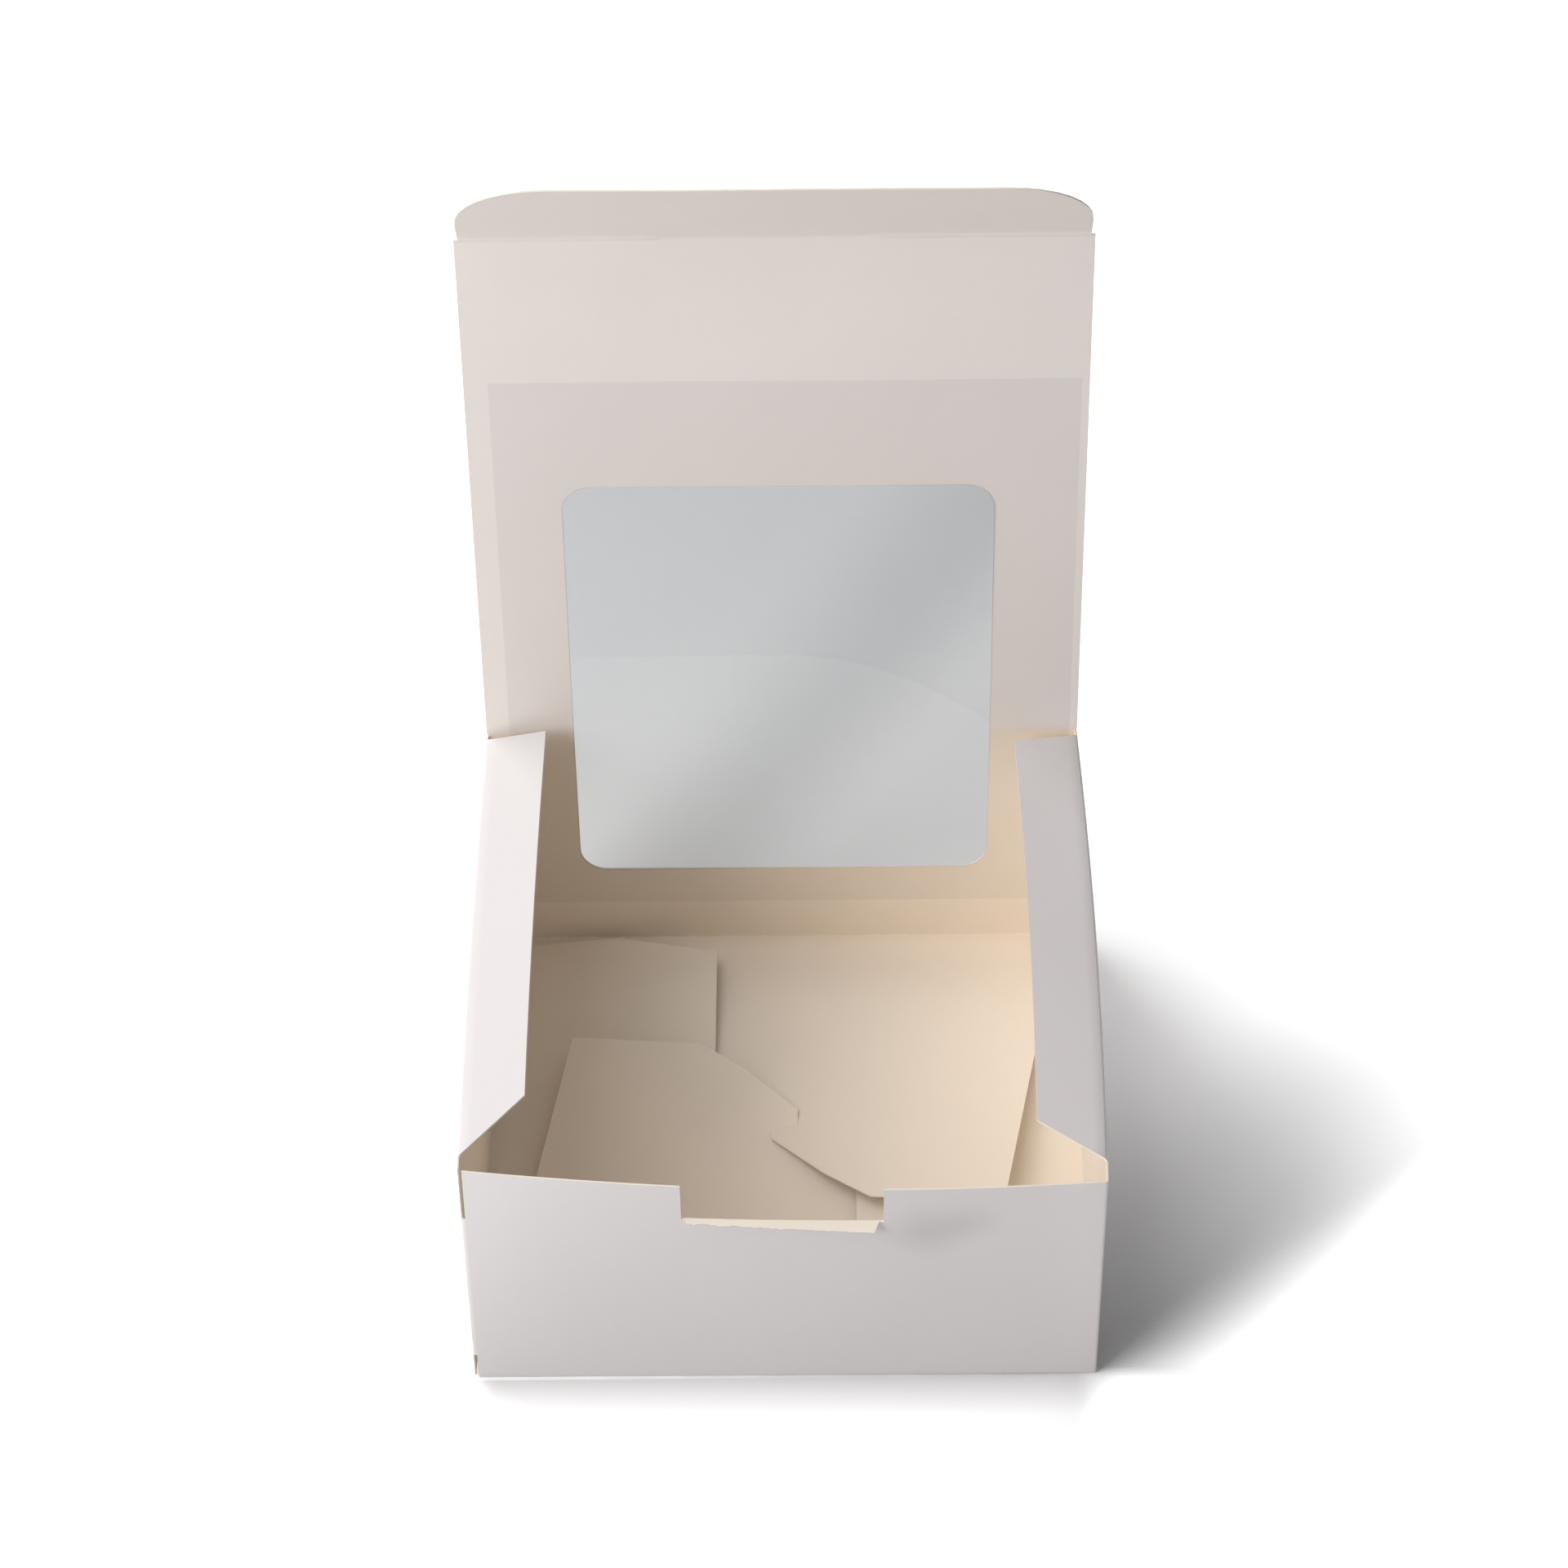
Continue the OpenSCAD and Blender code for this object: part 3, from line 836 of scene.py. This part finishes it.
class PASTRYBOX_OT_window_film(bpy.types.Operator):
    """Lays the clear film behind the window, round the hinge crease"""

    bl_idname = "pastrybox.window_film"
    bl_label = "Window film"

    def execute(self, context):
        scene = context.scene
        board, lid = scene.pastrybox_board, scene.pastrybox_lid
        low = lid.film_low - HINGE.z
        left = -lid.film_shift - lid.film_width / 2
        right = -lid.film_shift + lid.film_width / 2
        outline = [(left, low), (right, low), (right, lid.film_up), (left, lid.film_up)]
        blank = cut_blank(
            outline, scored(left, right, spacing=2 * MM),
            scored(low, lid.film_up, [0], board.fold_radius, spacing=2 * MM),
        )
        half_window = lid.window_width / 2
        sill = lid.window_sill - HINGE.z

        def window_room(u, v):
            """How far a point lies inside the window's edge, less than nothing outside it."""
            return min(half_window - abs(u), lid.window_up - v, v - sill)

        def sharp(u, v):
            run = LID_UP * v if v > 0 else Vector((0, 0, v))
            inner = LID_IN if v > 0 else Vector((0, -1, 0))
            return HINGE + Vector((-u, 0, 0)) + run + inner * (board.thickness + FILM_GAP)

        def fold(u, v):
            point = rounded(sharp, u, v, [], [0], board.fold_radius)
            free = min(1, max(0, window_room(u, v) / FADE_ROOM))
            glued = abs(ripple((u * 0.35, v, 1), 9 * MM, 0.08 * MM)) * (1 - free)
            slack = ripple((u, v, 2), 70 * MM, 0.25 * MM) * free
            return point + LID_IN * (glued + slack + lid_ripple(u, v))

        film = fold_blank("window_film", blank, fold)
        thicken(film, lid.film_thickness, [film_material(scene.pastrybox_finish, lid)])
        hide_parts("window_film_lid", "window_film_back")
        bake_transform(film)
        return {"FINISHED"}


def seen_straight(tree):
    """The outputs of the light path, and 1 for what the camera sees itself, in a shine or through glass."""
    path = add_node(tree, "ShaderNodeLightPath", {}, {}).outputs
    in_view = combine(tree, "MAXIMUM", path["Is Camera Ray"], path["Is Glossy Ray"])
    return path, combine(tree, "MAXIMUM", in_view, path["Is Transmission Ray"])


def floor_material(finish):
    """Plain pale paint, drawn brighter where it is seen directly so that the floor comes out white, with a
    painted shadow beside and in front of the box.
    """
    material, tree, output = new_material("pale_floor_painted_shadow")
    path, shown = seen_straight(tree)
    # Through the film the floor is less bright, which is what greys the window
    direct = combine(tree, "LESS_THAN", path["Transparent Depth"], 0.5)
    white = combine(tree, "MULTIPLY", shown, direct)
    plain = add_node(tree, "ShaderNodeBsdfDiffuse", {}, {"Color": (*finish.floor, 1)})
    through_film = add_node(tree, "ShaderNodeBsdfDiffuse", {}, {"Color": (1, 1, 1, 1)})
    beyond_film = add_node(tree, "ShaderNodeMixShader", {}, {
        0: shown, 1: plain.outputs["BSDF"], 2: through_film.outputs["BSDF"]})

    # Painted shadow: the floor's colour is darkest at the box's front right corner and soon grows lighter
    # towards the back
    place = add_node(tree, "ShaderNodeTexCoord", {}, {}).outputs["Object"]
    from_corner = vector_math(tree, "SUBTRACT", place, (HALF, 0, 0))["Vector"]
    distance = vector_math(tree, "LENGTH", from_corner)["Value"]
    painted_shadow_fade = ramp(tree, distance, (0, 130 * MM), (0.58, 1.8), "LINEAR")
    # How far a point lies in front of the painted shadow's front edge, which runs back to the right; the
    # floor is painted lighter in front of that edge and a little lighter far behind it
    before_edge = vector_math(tree, "DOT_PRODUCT", from_corner, SHADOW_ACROSS)["Value"]
    painted_light_ahead = ramp(tree, before_edge, (-8 * MM, 20 * MM), (1, 2.1))
    behind = ramp(tree, before_edge, (-30 * MM, -75 * MM), (1, 1.2))
    beside_box = combine(tree, "MULTIPLY", painted_shadow_fade, combine(tree, "MULTIPLY", painted_light_ahead, behind))
    # In front only a thin contact shadow is painted, and the floor is painted lighter past the box's sides
    # and further forward
    axes = add_node(tree, "ShaderNodeSeparateXYZ", {}, {"Vector": place}).outputs
    painted_contact_shadow = ramp(tree, axes["Y"], (0, -13 * MM), (0.74, 1.3), "LINEAR")
    past_contact = ramp(tree, axes["Y"], (-13 * MM, -50 * MM), (1, 1.9))
    sideways = combine(tree, "ABSOLUTE", axes["X"])
    past_side = ramp(tree, sideways, (HALF - 6 * MM, HALF + 8 * MM), (1, 2.1))
    in_front = combine(tree, "MULTIPLY", combine(tree, "MULTIPLY", painted_contact_shadow, past_contact), past_side)
    painted_floor_shade = ramp(tree, axes["Y"], (2 * MM, -1 * MM), (beside_box, in_front), "LINEAR")
    bright = add_node(tree, "ShaderNodeBsdfDiffuse", {}, {"Color": painted_floor_shade})
    mixed = add_node(tree, "ShaderNodeMixShader", {}, {
        0: white, 1: beyond_film.outputs["Shader"], 2: bright.outputs["BSDF"]})
    tree.links.new(mixed.outputs["Shader"], output.inputs["Surface"])
    return material


def white_surroundings():
    """A world that is white in view and lights the box only softly."""
    world = bpy.data.worlds.new("white_surroundings")
    world.use_nodes = True
    tree = world.node_tree
    tree.nodes.clear()
    strength = ramp(tree, seen_straight(tree)[1], (0, 1), (0.255, 1), "LINEAR")
    sky = add_node(tree, "ShaderNodeBackground", {}, {"Color": (1, 1, 1, 1), "Strength": strength})
    output = tree.nodes.new("ShaderNodeOutputWorld")
    tree.links.new(sky.outputs["Background"], output.inputs["Surface"])
    return world


def photo_camera():
    """The photograph's view: angles in degrees, distances in millimetres."""
    pitch, yaw, roll = (math.radians(degrees) for degrees in (43.09, -0.6, -0.9))
    target = Vector((0.26, 162.97, 45.6)) * MM
    distance = 1202.2 * MM
    level = Vector((math.sin(yaw), math.cos(yaw), 0))
    forward = level * math.cos(pitch) - Vector((0, 0, math.sin(pitch)))
    level_right = Vector((math.cos(yaw), -math.sin(yaw), 0))
    level_up = level_right.cross(forward)
    right = level_right * math.cos(roll) + level_up * math.sin(roll)
    up = level_up * math.cos(roll) - level_right * math.sin(roll)
    lens = bpy.data.cameras.new("camera")
    lens.lens = 104.7
    lens.sensor_width = 36
    camera = link_object("camera", lens)
    camera.location = target - forward * distance
    camera.rotation_euler = Matrix((right, up, -forward)).transposed().to_euler()
    return camera


def add_lamp(name, place, target, size, power):
    """A soft square lamp that looks at a point."""
    lamp = bpy.data.lights.new(name, "AREA")
    lamp.shape = "SQUARE"
    lamp.size = size
    lamp.energy = power
    holder = link_object(name, lamp)
    holder.location = place
    holder.rotation_euler = (target - Vector(place)).to_track_quat("-Z", "Y").to_euler()


class PASTRYBOX_OT_stage(bpy.types.Operator):
    """Sets the pale floor, the soft lamps, the white surroundings and the camera"""

    bl_idname = "pastrybox.stage"
    bl_label = "Stage"

    def execute(self, context):
        scene = context.scene
        ground = bmesh.new()
        bmesh.ops.create_grid(ground, x_segments=1, y_segments=1, size=1.2)
        mesh = bpy.data.meshes.new("floor")
        ground.to_mesh(mesh)
        ground.free()
        mesh.materials.append(floor_material(scene.pastrybox_finish))
        link_object("floor", mesh)

        scene.world = white_surroundings()
        centre = Vector((0, DEPTH / 2, HINGE.z / 2))
        add_lamp("key_lamp", (-1.47, -0.9, 1.03), centre, 1.2, 26.0)
        add_lamp("back_lamp", (-1.25, 1.33, 1.03), centre, 1.2, 13.3)
        add_lamp("top_lamp", (-0.83, -0.07, 1.9), centre, 1.3, 9.3)
        scene.camera = photo_camera()
        scene.view_settings.view_transform = "Standard"
        return {"FINISHED"}


class PASTRYBOX_PT_panel(bpy.types.Panel):
    """The operators that make the box, in their order"""

    bl_label = "Pastry Box"
    bl_space_type = "VIEW_3D"
    bl_region_type = "UI"
    bl_category = "Pastry Box"

    def draw(self, context):
        for operator in OPERATORS:
            self.layout.operator(operator.bl_idname)


GROUPS = {
    "pastrybox_board": PastryBoxBoard,
    "pastrybox_notch": PastryBoxNotch,
    "pastrybox_bottom": PastryBoxBottom,
    "pastrybox_flaps": PastryBoxFlaps,
    "pastrybox_lid": PastryBoxLid,
    "pastrybox_finish": PastryBoxFinish,
}
OPERATORS = (
    PASTRYBOX_OT_stage,
    PASTRYBOX_OT_tray,
    PASTRYBOX_OT_torn_lip,
    PASTRYBOX_OT_dust_flaps,
    PASTRYBOX_OT_lid,
    PASTRYBOX_OT_tuck_flap,
    PASTRYBOX_OT_window_film,
)


def register():
    for group in GROUPS.values():
        bpy.utils.register_class(group)
    for name, group in GROUPS.items():
        setattr(bpy.types.Scene, name, PointerProperty(type=group))
    for operator in OPERATORS:
        bpy.utils.register_class(operator)
    bpy.utils.register_class(PASTRYBOX_PT_panel)


def unregister():
    bpy.utils.unregister_class(PASTRYBOX_PT_panel)
    for operator in reversed(OPERATORS):
        bpy.utils.unregister_class(operator)
    for name in GROUPS:
        delattr(bpy.types.Scene, name)
    for group in reversed(list(GROUPS.values())):
        bpy.utils.unregister_class(group)


def main():
    register()
    bpy.ops.pastrybox.stage()
    bpy.ops.pastrybox.tray()
    bpy.ops.pastrybox.torn_lip()
    bpy.ops.pastrybox.dust_flaps()
    bpy.ops.pastrybox.lid()
    bpy.ops.pastrybox.tuck_flap()
    bpy.ops.pastrybox.window_film()


if __name__ == "__main__":
    main()
